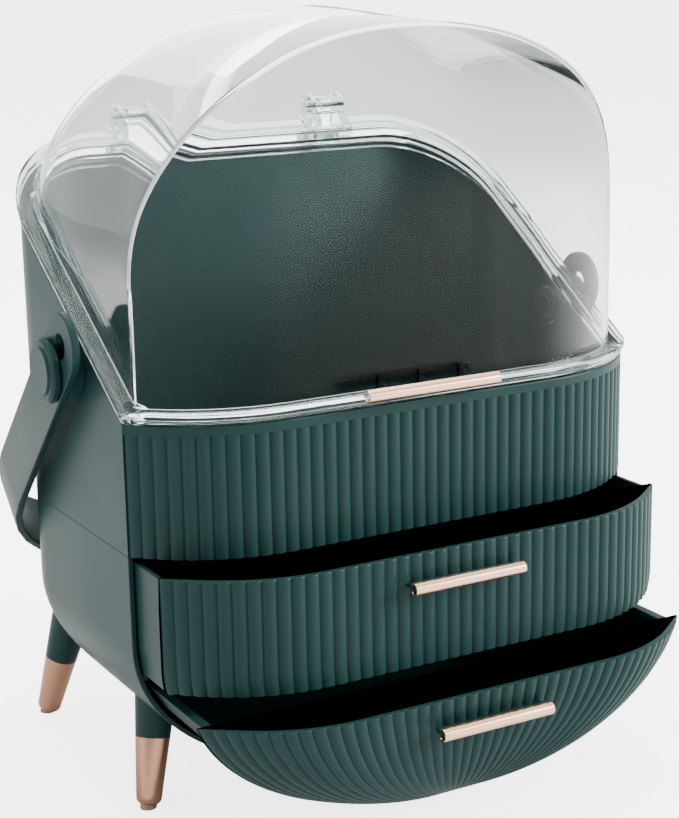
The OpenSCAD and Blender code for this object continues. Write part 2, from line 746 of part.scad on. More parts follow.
module lower_drawer_pull() {
    color(rose) placed()
        translate([0, -lower_out + lower_pull_y, lower_pull_z]) pull_tube(pull_l);
}

// ---- Handle ----
arm_in = half_w + standoff + run_gap;
arm_out = arm_in + strap_t;
bend_r = 70;                     // outer radius where the strap turns into the grip
slot_w = 7.6;
lobe_r = pivot_d / 2 + 0.2;
flat_w = slot_w - 0.2;           // width of the pin between its flats
button_t = 5.2;
retainer_t = 2.2;
retainer_d = 18;

module in_strap_frame() {
    translate([0, pivot_y, pivot_z]) rotate([-stow_angle, 0, 0]) children();
}

// Outline of the strap seen flat on: a U with rounded bends, drawn in by `in`
function strap_outline(in) = let (w = arm_out - in, u = handle_reach - in, r = bend_r - in)
    concat([[-w, -big / 2]], arc(-w + r, u - r, r, 180, 90), arc(w - r, u - r, r, 90, 0),
        [[w, -big / 2]]);

module handle() {
    color(green) placed() in_strap_frame() difference() {
        intersection() {
            translate([0, 0, -strap_w / 2])
                linear_extrude(strap_w)
                    difference() {
                        polygon(strap_outline(0));
                        polygon(strap_outline(strap_t));
                    }
            union() {
                translate([-big / 2, -slot_travel, 0])
                    rotate([0, 90, 0])
                        cylinder(d = strap_w, h = big, $fn = 72);
                translate([-big / 2, -slot_travel, -strap_w / 2])
                    cube([big, big, strap_w]);
            }
        }
        for (u = [0, -slot_travel])
            translate([-big / 2, u, 0])
                rotate([0, 90, 0])
                    cylinder(r = lobe_r, h = big, $fn = 48);
        translate([-big / 2, -slot_travel, -slot_w / 2])
            cube([big, slot_travel, slot_w]);
    }
}

// Round button with a stepped face, its pin with two flats, pointing to +X
module button() {
    r = button_d / 2;
    x0 = arm_out + run_gap;
    x1 = x0 + button_t;
    rotate([0, 90, 0]) rotate_extrude($fn = 72)
        polygon([[0, x0], [r - 1, x0], [r, x0 + 1], [r, x1 - 2.2], [r - 1.2, x1 - 1],
            [r - 3, x1 - 1], [r - 3.6, x1], [0, x1]]);
    pin_end = half_w - wall - flute_depth - retainer_t - 1.5;
    rotate([0, 90, 0])
        translate([0, 0, pin_end])
            cylinder(d = pivot_d, h = arm_in - 0.1 - pin_end, $fn = 48);
    intersection() {
        rotate([0, 90, 0])
            translate([0, 0, arm_in - 0.2])
                cylinder(d = pivot_d, h = strap_t + run_gap + 0.4, $fn = 48);
        in_flats() translate([0, -pivot_d, -flat_w / 2]) cube([big, 2 * pivot_d, flat_w]);
    }
}

module in_flats() {
    rotate([-stow_angle, 0, 0]) children();
}

module handle_button_right() {
    color(green) placed() translate([0, pivot_y, pivot_z]) button();
}

module handle_button_left() {
    color(green) placed() translate([0, pivot_y, pivot_z]) mirror([1, 0, 0]) button();
}

module boss(side) {
    translate([side > 0 ? half_w : -half_w - standoff, pivot_y, pivot_z])
        rotate([0, 90, 0])
            difference() {
                cylinder(d = button_d + 1, h = standoff, $fn = 72);
                translate([0, 0, -1])
                    cylinder(d = pivot_d + 2 * turn_gap, h = standoff + 2, $fn = 48);
            }
}

module handle_boss_left() {
    color(green) placed() boss(-1);
}

module handle_boss_right() {
    color(green) placed() boss(1);
}

module pivot_retainers() {
    x0 = half_w - wall - flute_depth - run_gap - retainer_t;
    color(dark_green) placed() for (s = [0, 1]) mirror([s, 0, 0])
        translate([x0, pivot_y, pivot_z])
            rotate([0, 90, 0])
                difference() {
                    cylinder(d = retainer_d, h = retainer_t, $fn = 48);
                    translate([0, 0, -1]) cylinder(d = pivot_d, h = retainer_t + 2, $fn = 48);
                }
}

// ---- Legs ----
// Each leg: side, end, and the place of its foot
rear_foot_y = case_d + rear_foot_out;
legs = [[-1, -1, front_foot_y], [1, -1, front_foot_y], [-1, 1, rear_foot_y], [1, 1, rear_foot_y]];
cap_wall = 1.2;
pad_d = 7.5;
pad_show = 1.3;                  // height of the pad below the cap
pad_top = 2.8;                   // height of the pad's upper face
pad_cut = 2.5;                   // length of the pad below the foot's middle, cut level
cap_floor = 7.6;                 // height of the floor of the cap's socket
leg_l = 88;
leg_run = 48;                    // height where a leg reaches its full diameter
cap_top_d = leg_d(cap_h);
screw_d = 2.6;
screw_head_d = 6;
screw_head_h = 1;
screw_l = 10;

function leg_d(h) = foot_d + (leg_top_d - foot_d) * h / leg_run;

module at_foot(leg) {
    translate([leg[0] * (half_w - foot_in), leg[2], 0])
        rotate([leg[1] * splay_y, -leg[0] * splay_x, 0])
            children();
}

// Where a leg's screw goes through the belly wall, square to it: the height, and in plan the
// direction of the wall there, 0 degrees on the straight side
screw_in = wall - 0.8;
function screw_z(leg) = leg[1] < 0 ? 41 : 62;
function screw_turn(leg) = leg[1] < 0 ? 0 : 65;
function wall_reach(a, in) = (half_w - rear_r) * cos(a) + (case_d - rear_r) * sin(a) + rear_r - in;
function screw_lean(leg) = let (z = screw_z(leg))
    atan2(wall_reach(screw_turn(leg), screw_in) *
        (belly_share(z + 1, screw_in) - belly_share(z - 1, screw_in)), 2);
function screw_place(leg) = let (
        z = screw_z(leg),
        a = screw_turn(leg),
        e = belly_share(z, screw_in),
        r = rear_r - screw_in)
    [leg[0] * e * (half_w - rear_r + r * cos(a)),
     leg[1] < 0 ? leg[2] + z * tan(splay_y) : e * (case_d - rear_r + r * sin(a)), z];

module at_leg_screw(leg) {
    translate(screw_place(leg))
        rotate([0, 0, leg[0] > 0 ? screw_turn(leg) : 180 - screw_turn(leg)])
            rotate([0, 90 + screw_lean(leg), 0])
                children();
}

module leg_body(leg) {
    tenon_in = 2 * cap_wall + 0.4;
    color(green) placed() difference() {
        at_foot(leg) {
            translate([0, 0, cap_h])
                cylinder(d1 = cap_top_d, d2 = leg_d(leg_l), h = leg_l - cap_h, $fn = 64);
            translate([0, 0, cap_floor + 0.4])
                cylinder(d1 = leg_d(cap_floor) - tenon_in, d2 = cap_top_d - tenon_in,
                    h = cap_h - cap_floor, $fn = 48);
        }
        bowl(0, 0, bottom_z, seam_z);
        at_leg_screw(leg) cylinder(d = screw_d, h = 2 * (screw_l - wall), center = true, $fn = 24);
    }
}

module leg_cap(leg) {
    tip = 3.2;                   // radius of the rounded tip
    color(rose) placed() at_foot(leg) difference() {
        rotate_extrude($fn = 64)
            polygon(concat([[0, pad_show]],
                arc(leg_d(tip) / 2 - tip, pad_show + tip, tip, -90, 0),
                [[cap_top_d / 2, cap_h], [0, cap_h]]));
        translate([0, 0, cap_floor])
            cylinder(d1 = leg_d(cap_floor) - 2 * cap_wall, d2 = cap_top_d - 2 * cap_wall,
                h = cap_h - cap_floor + 0.01, $fn = 48);
        translate([0, 0, -pad_cut]) cylinder(d = pad_d, h = pad_top + pad_cut, $fn = 48);
    }
}

module leg_front_left() {
    leg_body(legs[0]);
}

module leg_front_right() {
    leg_body(legs[1]);
}

module leg_rear_left() {
    leg_body(legs[2]);
}

module leg_rear_right() {
    leg_body(legs[3]);
}

module leg_cap_front_left() {
    leg_cap(legs[0]);
}

module leg_cap_front_right() {
    leg_cap(legs[1]);
}

module leg_cap_rear_left() {
    leg_cap(legs[2]);
}

module leg_cap_rear_right() {
    leg_cap(legs[3]);
}

module foot_pads() {
    color(dark_green) placed() for (leg = legs) intersection() {
        at_foot(leg) translate([0, 0, -pad_cut]) cylinder(d = pad_d, h = pad_top + pad_cut, $fn = 48);
        slab(0, cap_floor);
    }
}

module leg_screws() {
    color(steel) placed() for (leg = legs) at_leg_screw(leg) {
        translate([0, 0, -screw_head_h]) cylinder(d = screw_head_d, h = screw_head_h, $fn = 32);
        cylinder(d = screw_d, h = screw_l - wall, $fn = 24);
    }
}

upper_shell();
lower_cabinet();
drawer_shelf();
rim_frame();
cover_hood();
cover_pull();
hinge_pins();
upper_drawer_tray();
upper_drawer_front();
upper_drawer_ledge();
upper_drawer_pull();
lower_drawer_tray();
lower_drawer_front();
lower_drawer_ledge();
lower_drawer_pull();
handle();
handle_button_left();
handle_button_right();
handle_boss_left();
handle_boss_right();
pivot_retainers();
leg_front_left();
leg_front_right();
leg_rear_left();
leg_rear_right();
leg_cap_front_left();
leg_cap_front_right();
leg_cap_rear_left();
leg_cap_rear_right();
foot_pads();
leg_screws();
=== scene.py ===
import math

import bmesh
import bpy
from mathutils import Matrix, Vector


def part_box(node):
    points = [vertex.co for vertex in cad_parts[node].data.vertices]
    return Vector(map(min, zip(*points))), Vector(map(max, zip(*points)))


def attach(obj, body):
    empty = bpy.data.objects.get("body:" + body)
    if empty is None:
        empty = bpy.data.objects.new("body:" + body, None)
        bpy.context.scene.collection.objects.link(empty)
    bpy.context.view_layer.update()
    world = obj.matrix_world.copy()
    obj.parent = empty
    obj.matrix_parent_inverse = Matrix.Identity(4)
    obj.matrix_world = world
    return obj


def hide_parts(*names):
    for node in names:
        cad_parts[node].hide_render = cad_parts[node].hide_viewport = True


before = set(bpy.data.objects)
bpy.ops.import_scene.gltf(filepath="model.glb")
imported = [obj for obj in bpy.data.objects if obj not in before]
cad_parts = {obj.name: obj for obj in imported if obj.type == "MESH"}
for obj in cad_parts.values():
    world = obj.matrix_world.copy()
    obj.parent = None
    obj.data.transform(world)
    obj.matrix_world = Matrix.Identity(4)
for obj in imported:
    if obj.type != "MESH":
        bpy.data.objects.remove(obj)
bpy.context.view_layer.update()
MM = 0.001
CASE_D = 145                                 # the case from front to back along its flat sides
REAR_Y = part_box("upper_shell")[1].y          # the case's rear wall
FRONT_Y = REAR_Y - CASE_D * MM               # where the flat sides meet the bowed front


# ---- Studio: a camera at the photograph's angle, a pale floor and soft lamps ----
# The floor is a plain sheet far wider than the object. The lamps are large
# panels: the strongest stands in front on the right, a weak one lights the left side.
CAMERA_AT = Vector((-394.85, -660.9, 361.69)) * MM + Vector((0, FRONT_Y, 0))
YAW, PITCH, ROLL = (math.radians(a) for a in (28.958, 14.211, -1.110))
FOCAL_PX, CENTRE_PX, IMAGE_PX = 1830.17, (331.26, 415.80), (679, 818)
SENSOR_MM = 36
LAMPS_AIM = Vector((0, 0, 0.15))
FLOOR_HALF = 40                              # in metres, so that its edge is never seen

ahead = Vector((math.sin(YAW) * math.cos(PITCH), math.cos(YAW) * math.cos(PITCH), -math.sin(PITCH)))
level = Vector((math.cos(YAW), -math.sin(YAW), 0))
upward = level.cross(ahead)
right = level * math.cos(ROLL) + upward * math.sin(ROLL)
up = upward * math.cos(ROLL) - level * math.sin(ROLL)
lens = bpy.data.cameras.new("camera")
lens.sensor_fit = "HORIZONTAL"
lens.sensor_width = SENSOR_MM
lens.lens = FOCAL_PX * SENSOR_MM / IMAGE_PX[0]
lens.shift_x = (IMAGE_PX[0] / 2 - CENTRE_PX[0]) / IMAGE_PX[0]
lens.shift_y = (CENTRE_PX[1] - IMAGE_PX[1] / 2) / IMAGE_PX[0]
lens.clip_end = 200
camera = bpy.data.objects.new("camera", lens)
camera.matrix_world = Matrix((
    (right.x, up.x, -ahead.x, CAMERA_AT.x),
    (right.y, up.y, -ahead.y, CAMERA_AT.y),
    (right.z, up.z, -ahead.z, CAMERA_AT.z),
    (0, 0, 0, 1)))
bpy.context.scene.collection.objects.link(camera)
bpy.context.scene.camera = camera


def lamp(name, at, size, power):
    """A square panel of white light that faces the middle of the object."""
    light = bpy.data.lights.new(name, "AREA")
    light.size, light.energy = size, power
    panel = bpy.data.objects.new(name, light)
    panel.location = at
    panel.rotation_euler = (LAMPS_AIM - Vector(at)).to_track_quat("-Z", "Y").to_euler()
    bpy.context.scene.collection.objects.link(panel)


lamp("side_panel", (-1.7, 0.25, 0.75), 1.2, 22)
lamp("top_panel", (0.1, 0.3, 1.9), 1.6, 60)
lamp("front_panel", (1.8, -1.3, 0.9), 0.9, 150)
lamp("rear_panel", (0.6, 1.9, 1.1), 1.4, 24)


def seen_more(tree, plain, direct, through):
    """A strength that is higher where the camera looks at it, also through clear plastic."""
    rays = tree.nodes.new("ShaderNodeLightPath")
    last = plain
    for ray, more in (("Is Camera Ray", direct), ("Is Transmission Ray", through)):
        step = tree.nodes.new("ShaderNodeMath")
        step.operation = "MULTIPLY_ADD"
        step.inputs[1].default_value = more
        tree.links.new(rays.outputs[ray], step.inputs[0])
        if last is plain:
            step.inputs[2].default_value = plain
        else:
            tree.links.new(last, step.inputs[2])
        last = step.outputs["Value"]
    return last


sky = bpy.data.worlds.new("studio")
sky.use_nodes = True
backdrop = sky.node_tree.nodes["Background"]
backdrop.inputs["Color"].default_value = (1, 1, 1, 1)
sky.node_tree.links.new(seen_more(sky.node_tree, plain=1.3, direct=4.5, through=0.8),
                        backdrop.inputs["Strength"])
bpy.context.scene.world = sky

floor_mesh = bmesh.new()
bmesh.ops.create_grid(floor_mesh, x_segments=1, y_segments=1, size=FLOOR_HALF)
floor_data = bpy.data.meshes.new("floor")
floor_mesh.to_mesh(floor_data)
floor_mesh.free()
floor = bpy.data.objects.new("floor", floor_data)
bpy.context.scene.collection.objects.link(floor)


def new_material(name):
    """A material with one Principled shader, and its parts."""
    mat = bpy.data.materials.new(name)
    mat.use_nodes = True
    tree = mat.node_tree
    return mat, tree, tree.nodes["Principled BSDF"]


floor_paper, tree, shader = new_material("floor_paper")
shader.inputs["Base Color"].default_value = (0.75, 0.75, 0.75, 1)
shader.inputs["Roughness"].default_value = 0.9
shader.inputs["Emission Color"].default_value = (1, 1, 1, 1)
tree.links.new(seen_more(tree, plain=0.0, direct=3.6, through=0.6),
               shader.inputs["Emission Strength"])
fibre = tree.nodes.new("ShaderNodeTexNoise")
fibre.inputs["Scale"].default_value = 40
relief = tree.nodes.new("ShaderNodeBump")
relief.inputs["Strength"].default_value = 0.02
tree.links.new(fibre.outputs["Fac"], relief.inputs["Height"])
tree.links.new(relief.outputs["Normal"], shader.inputs["Normal"])
floor_data.materials.append(floor_paper)


# ---- Lower cabinet ----
# The belly-shaped case that both drawers run in. It is one green plastic
# moulding with a fine spark-eroded grain, and its edges are slightly rounded.
def grain_group():
    """Fine moulded grain: an uneven colour, an uneven gloss and a relief height."""
    group = bpy.data.node_groups.new("moulded_grain", "ShaderNodeTree")
    for name, kind, value in (("Colour", "NodeSocketColor", (0.5, 0.5, 0.5, 1)),
                              ("Gloss", "NodeSocketFloat", 0.4), ("Grain Size", "NodeSocketFloat", 1800.0),
                              ("Mottle", "NodeSocketFloat", 0.12)):
        group.interface.new_socket(name, in_out="INPUT", socket_type=kind).default_value = value
    for name, kind in (("Colour", "NodeSocketColor"), ("Roughness", "NodeSocketFloat"),
                       ("Height", "NodeSocketFloat")):
        group.interface.new_socket(name, in_out="OUTPUT", socket_type=kind)
    nodes, link = group.nodes, group.links.new
    inputs, outputs = nodes.new("NodeGroupInput"), nodes.new("NodeGroupOutput")
    place = nodes.new("ShaderNodeTexCoord")
    fine, broad = nodes.new("ShaderNodeTexNoise"), nodes.new("ShaderNodeTexNoise")
    fine.inputs["Detail"].default_value = 1
    broad.inputs["Scale"].default_value = 26
    broad.inputs["Detail"].default_value = 4
    link(inputs.outputs["Grain Size"], fine.inputs["Scale"])
    for noise in (fine, broad):
        link(place.outputs["Object"], noise.inputs["Vector"])
    shade = nodes.new("ShaderNodeMapRange")
    shade.inputs["From Min"].default_value = 0.3
    shade.inputs["From Max"].default_value = 0.7
    shade.inputs["To Min"].default_value = 0
    link(broad.outputs["Fac"], shade.inputs["Value"])
    link(inputs.outputs["Mottle"], shade.inputs["To Max"])
    tint = nodes.new("ShaderNodeMix")
    tint.data_type = "RGBA"
    tint.blend_type = "MIX"
    tint.inputs["B"].default_value = (0.32, 0.42, 0.4, 1)
    link(shade.outputs["Result"], tint.inputs["Factor"])
    link(inputs.outputs["Colour"], tint.inputs["A"])
    link(tint.outputs["Result"], outputs.inputs["Colour"])
    gloss = nodes.new("ShaderNodeMath")
    gloss.operation = "MULTIPLY_ADD"
    gloss.inputs[1].default_value = 0.14
    link(broad.outputs["Fac"], gloss.inputs[0])
    link(inputs.outputs["Gloss"], gloss.inputs[2])
    link(gloss.outputs["Value"], outputs.inputs["Roughness"])
    link(fine.outputs["Fac"], outputs.inputs["Height"])
    return group


moulded_grain = grain_group()
GRAIN_SIZE, GRAIN_RELIEF = 1800, 0.008


def plastic(name, colour, roughness, mottle=0.05):
    """Opaque moulded plastic with the fine grain of its mould."""
    mat, tree, shader = new_material(name)
    effect = tree.nodes.new("ShaderNodeGroup")
    effect.node_tree = moulded_grain
    effect.inputs["Colour"].default_value = (*colour, 1)
    effect.inputs["Gloss"].default_value = roughness
    effect.inputs["Grain Size"].default_value = GRAIN_SIZE
    effect.inputs["Mottle"].default_value = mottle
    bump = tree.nodes.new("ShaderNodeBump")
    bump.inputs["Strength"].default_value = 0.35
    bump.inputs["Distance"].default_value = GRAIN_RELIEF * MM
    shader.inputs["Specular IOR Level"].default_value = 0.09
    tree.links.new(effect.outputs["Colour"], shader.inputs["Base Color"])
    tree.links.new(effect.outputs["Roughness"], shader.inputs["Roughness"])
    tree.links.new(effect.outputs["Height"], bump.inputs["Height"])
    tree.links.new(bump.outputs["Normal"], shader.inputs["Normal"])
    return mat


LOFT_SHARP, COPY_SHARP = 20, 31              # an edge that turns by more degrees stays sharp
COPY_JOIN = 2e-6                             # in metres
EVEN = math.radians(1)


def show(mesh_data, material, body, slot, *nodes, sharp=LOFT_SHARP):
    """Puts a finished mesh in the scene, under its own name, as a piece that stands for CAD nodes."""
    mesh_data.materials.clear()
    mesh_data.materials.append(material)
    for face in mesh_data.polygons:
        face.use_smooth = True
    mesh_data.set_sharp_from_angle(angle=math.radians(sharp))
    piece = bpy.data.objects.new(mesh_data.name, mesh_data)
    bpy.context.scene.collection.objects.link(piece)
    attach(piece, body)
    if nodes:
        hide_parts(*nodes)
    return piece


def rounded_copy(node, material, body, slot, width=0.4, steps=2):
    """A copy of a CAD node whose sharp edges are rounded off, as a mould leaves them."""
    bm = bmesh.new()
    bm.from_mesh(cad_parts[node].data)
    bmesh.ops.remove_doubles(bm, verts=bm.verts, dist=COPY_JOIN)
    bmesh.ops.dissolve_limit(bm, angle_limit=EVEN, verts=bm.verts, edges=bm.edges)
    data = bpy.data.meshes.new(node + "_part")
    bm.to_mesh(data)
    bm.free()
    piece = show(data, material, body, slot, node, sharp=COPY_SHARP)
    edge = piece.modifiers.new("rounded_edges", "BEVEL")
    edge.width, edge.segments, edge.limit_method = width * MM, steps, "ANGLE"
    edge.angle_limit = math.radians(COPY_SHARP)
    edge.harden_normals = True
    return piece


CASE_W, BOW, BOW_FLAT, REAR_R = 250, 29.7, 126, 48
SEAM_Z, WALL, LIP_W, LIP_H, BOTTOM_Z = 124.4, 2.2, 8, 1.2, 11.5
BELLY_Z, BELLY_LOW, BELLY_N = 84.3, 10.3, 2.05
CORNER_STEPS, BELLY_STEPS = 20, 24
JOIN = 1e-4                                  # points nearer than this, in millimetres, are one
CORNER_TURN = math.radians(50)
SOFT_EDGE, SOFT_STEPS = 0.45, 2
STOP_HALF = 30                               # half the width of the notch in the cabinet's lip


def rear_curve(inset):
    """Points of the flat sides' far ends and the two rounded rear corners, right to left."""
    points = []
    for side, start in ((1, 0), (-1, 90)):
        for step in range(CORNER_STEPS + 1):
            angle = math.radians(start + 90 * step / CORNER_STEPS)
            points.append((side * (CASE_W / 2 - REAR_R) + (REAR_R - inset) * math.cos(angle),
                           CASE_D - REAR_R + (REAR_R - inset) * math.sin(angle)))
    return points


def start_row(bm, points, closed=True):
    """A first row of joined vertices."""
    row = [bm.verts.new(point) for point in points]
    for one, two in zip(row, row[1:] + row[:1] if closed else row[1:]):
        bm.edges.new((one, two))
    return row


def next_row(bm, row, points, closed=True):
    """Extrudes a row of vertices and lays the new row on points."""
    chain = [bm.edges.get(pair) for pair in zip(row, row[1:] + row[:1] if closed else row[1:])]
    made = bmesh.ops.extrude_edge_only(bm, edges=chain)["geom"]
    fresh = {item for item in made if isinstance(item, bmesh.types.BMVert)}
    new = [next(edge.other_vert(vert) for edge in vert.link_edges if edge.other_vert(vert) in fresh)
           for vert in row]
    for vert, point in zip(new, points):
        vert.co = point
    return new


def to_data(bm, name):
    """Joins the seams of a bmesh drawn in millimetres from the front corners, and puts it in the frame."""
    bmesh.ops.remove_doubles(bm, verts=bm.verts, dist=JOIN)
    bmesh.ops.recalc_face_normals(bm, faces=bm.faces)
    bmesh.ops.transform(bm, matrix=Matrix.Translation((0, FRONT_Y, 0)) @ Matrix.Scale(MM, 4),
                        verts=bm.verts)
    data = bpy.data.meshes.new(name)
    bm.to_mesh(data)
    bm.free()
    return data


def round_off(bm, edges, width, steps):
    """Rounds edges off by an even width."""
    bmesh.ops.bevel(bm, geom=list(edges), offset=width, offset_type="OFFSET", affect="EDGES",
                    segments=steps, profile=0.5, material=-1, clamp_overlap=True)


def belly_share(z, inset):
    """Share of the full half width that is left at height z."""
    if z >= BELLY_Z:
        return 1.0
    return max(0.0, 1 - ((BELLY_Z - z) / (BELLY_Z - BELLY_LOW - inset)) ** BELLY_N) ** (1 / BELLY_N)


def belly_heights(top, low, inset, steps):
    """Heights that are even along the belly curve."""
    turns = [math.asin(min(1, max(0, (BELLY_Z - z) / (BELLY_Z - BELLY_LOW - inset))) ** (BELLY_N / 2))
             for z in (top, low)]
    return [BELLY_Z - (BELLY_Z - BELLY_LOW - inset)
            * math.sin(turns[0] + (turns[1] - turns[0]) * step / steps) ** (2 / BELLY_N)
            for step in range(steps + 1)]


def block(bm, low, high):
    """A plain box between two corners."""
    size = [b - a for a, b in zip(low, high)]
    middle = [(a + b) / 2 for a, b in zip(low, high)]
    bmesh.ops.create_cube(bm, size=1, matrix=Matrix.Translation(middle) @ Matrix.Diagonal((*size, 1)))


# The profile runs up the outside, over the lip and down the inside, as open rows
# whose ends stand on the front's plane
profile = [(0, z) for z in reversed(belly_heights(BELLY_Z, BOTTOM_Z, 0, BELLY_STEPS))] + [
    (0, SEAM_Z), (WALL + LIP_W, SEAM_Z), (WALL + LIP_W, SEAM_Z - LIP_H), (WALL, SEAM_Z - LIP_H)] + [
    (WALL, z) for z in belly_heights(BELLY_Z, BOTTOM_Z + WALL, WALL, BELLY_STEPS)]
bm = bmesh.new()
rows = []
for inset, z in profile:
    shrink = belly_share(z, inset)
    rear = rear_curve(inset)
    half, back = len(rear) // 2, CASE_D - inset
    # The lip is notched at the back for the upper drawer's stop tab
    deep = min(CASE_D - WALL, back + LIP_W) if inset > WALL else back
    notch = [(STOP_HALF, back), (STOP_HALF, deep), (-STOP_HALF, deep), (-STOP_HALF, back)]
    outline = ([(CASE_W / 2 - inset, 0)] + rear[:half] + notch + rear[half:]
               + [(inset - CASE_W / 2, 0)])
    points = [(x * shrink, y * shrink, z) for x, y in outline]
    rows.append(next_row(bm, rows[-1], points, closed=False) if rows
                else start_row(bm, points, closed=False))
bm.faces.new(rows[0])
bm.faces.new(rows[-1])
bm.faces.new((rows[0][0], rows[0][-1], rows[-1][-1], rows[-1][0]))
for end in (0, -1):
    bm.faces.new([row[end] for row in rows[BELLY_STEPS:-BELLY_STEPS]])
    for step in range(BELLY_STEPS):
        bm.faces.new((rows[step][end], rows[step + 1][end], rows[-2 - step][end], rows[-1 - step][end]))
bmesh.ops.remove_doubles(bm, verts=bm.verts, dist=JOIN)
bmesh.ops.recalc_face_normals(bm, faces=bm.faces)
round_off(bm, [e for e in bm.edges if e.calc_face_angle(0) > CORNER_TURN], SOFT_EDGE, SOFT_STEPS)
# Ribs that carry the shelf, and two runners under the lower drawer, each by its
# middle, half width, front, back, underside and top
SHELF_RIB = (119.5, 1.2, 1, 87, 68.9, 70.5)
RUNNER = (30, 1.5, 2, 42, 13.2, 20.3)
for side in (-1, 1):
    for middle, half, front, back, low, top in (SHELF_RIB, RUNNER):
        block(bm, (side * middle - half, front, low), (side * middle + half, back, top))
GREEN = (0.0055, 0.0225, 0.0215)
case_green = plastic("case_green", GREEN, 0.32, 0.006)
show(to_data(bm, "lower_cabinet_part"), case_green, "case", "green_plastic", "lower_cabinet")

# ---- Shelf between the drawers ----
# A thin flat plate that lies on ribs inside the cabinet. It is of the same
# plastic, and is only seen in the dark slot over the lower drawer; its green is painted darker than the
# case's, as painted shade.
painted_shade_green = plastic("painted_shade_green", (0.006, 0.013, 0.012), 0.42)
rounded_copy("drawer_shelf", painted_shade_green, "case", "inner_plastic", 0.2)


# ---- Upper shell ----
# The open tub over the drawers. Its bowed front has forty-four upright ribs
# with a plain band above them, and its rim rises to the back in a straight slope.
RIM_Z, BAND_H, FLUTE_DEPTH, FLUTES = 180, 4, 1.1, 44
RIM_SLOPE = math.radians(33)
RIM_RISE = math.tan(RIM_SLOPE)
RIM_EDGE, SHELL_FLOOR, FLUTE_N = 0.5, 2.4, 2.4
FLUTE_CUTS = (0, 0.05, 0.16, 0.32, 0.5, 0.68, 0.84, 0.95)


def bow_radius(width):
    """Radius of the arcs on both sides of a bowed front's flat middle."""
    return (((width - BOW_FLAT) / 2) ** 2 + BOW ** 2) / (2 * BOW)


def front_curve(width, fluted, inset=0.0):
    """Points of a bowed front from left to right, with ribs or drawn in smoothly."""
    radius = bow_radius(width)
    turn = math.asin((width / 2 - inset - BOW_FLAT / 2) / (radius - inset))
    half = BOW_FLAT / 2 + radius * math.asin((width - BOW_FLAT) / 2 / radius)
    cuts = FLUTES * len(FLUTE_CUTS)
    points = []
    for step in range(cuts + 1):
        rib, cut = divmod(step, len(FLUTE_CUTS))
        share = FLUTE_CUTS[cut]
        along = half * (2 * (rib + share) / FLUTES - 1)
        past = max(0.0, abs(along) - BOW_FLAT / 2)
        back = FLUTE_DEPTH * abs(2 * share - 1) ** FLUTE_N if fluted and 0 < step < cuts else 0.0
        angle = past / (half - BOW_FLAT / 2) * turn
        reach = radius - inset - back
        points.append((math.copysign(min(abs(along), BOW_FLAT / 2) + reach * math.sin(angle), along),
                       -BOW + radius - reach * math.cos(angle)))
    return points


def rim_height(y, above=0.0):
    """Height at depth y of the rim, or of a surface that runs evenly above it."""
    knee = -above * math.tan(RIM_SLOPE / 2)
    return RIM_Z + max(above, max(y, knee) * RIM_RISE + above / math.cos(RIM_SLOPE))


SHELL_IN = WALL + FLUTE_DEPTH
ribbed = front_curve(CASE_W, True) + rear_curve(0)
plain = front_curve(CASE_W, False) + rear_curve(0)
inside = front_curve(CASE_W, False, SHELL_IN) + rear_curve(SHELL_IN)
bm = bmesh.new()
row = start_row(bm, [(x, y, SEAM_Z) for x, y in ribbed])
bm.faces.new(row)
row = next_row(bm, row, [(x, y, RIM_Z - BAND_H) for x, y in ribbed])
row = next_row(bm, row, [(x, y, RIM_Z - BAND_H) for x, y in plain])
rim_outer = next_row(bm, row, [(x, y, rim_height(y)) for x, y in plain])
rim_inner = next_row(bm, rim_outer, [(x, y, rim_height(y)) for x, y in inside])
row = next_row(bm, rim_inner, [(x, y, SEAM_Z + SHELL_FLOOR) for x, y in inside])
bm.faces.new(row)
bmesh.ops.recalc_face_normals(bm, faces=bm.faces)
rims = set(rim_outer) | set(rim_inner)
round_off(bm, [e for e in bm.edges if e.verts[0] in rims and e.verts[1] in rims
               and (e.verts[0] in rim_outer) == (e.verts[1] in rim_outer)], RIM_EDGE, SOFT_STEPS)
show(to_data(bm, "upper_shell_part"), case_green, "case", "green_plastic", "upper_shell")


# ---- Clear frame on the rim, and the hinge pins ----
# A clear moulded ring that sits on the shell's rim and carries two pairs of
# hinge ears at the back. Two short steel pins join the cover to the ears.
THROUGH_SHARE, GUIDED_DEPTH = 0.84, 2.5      # the second in reflections inside a wall


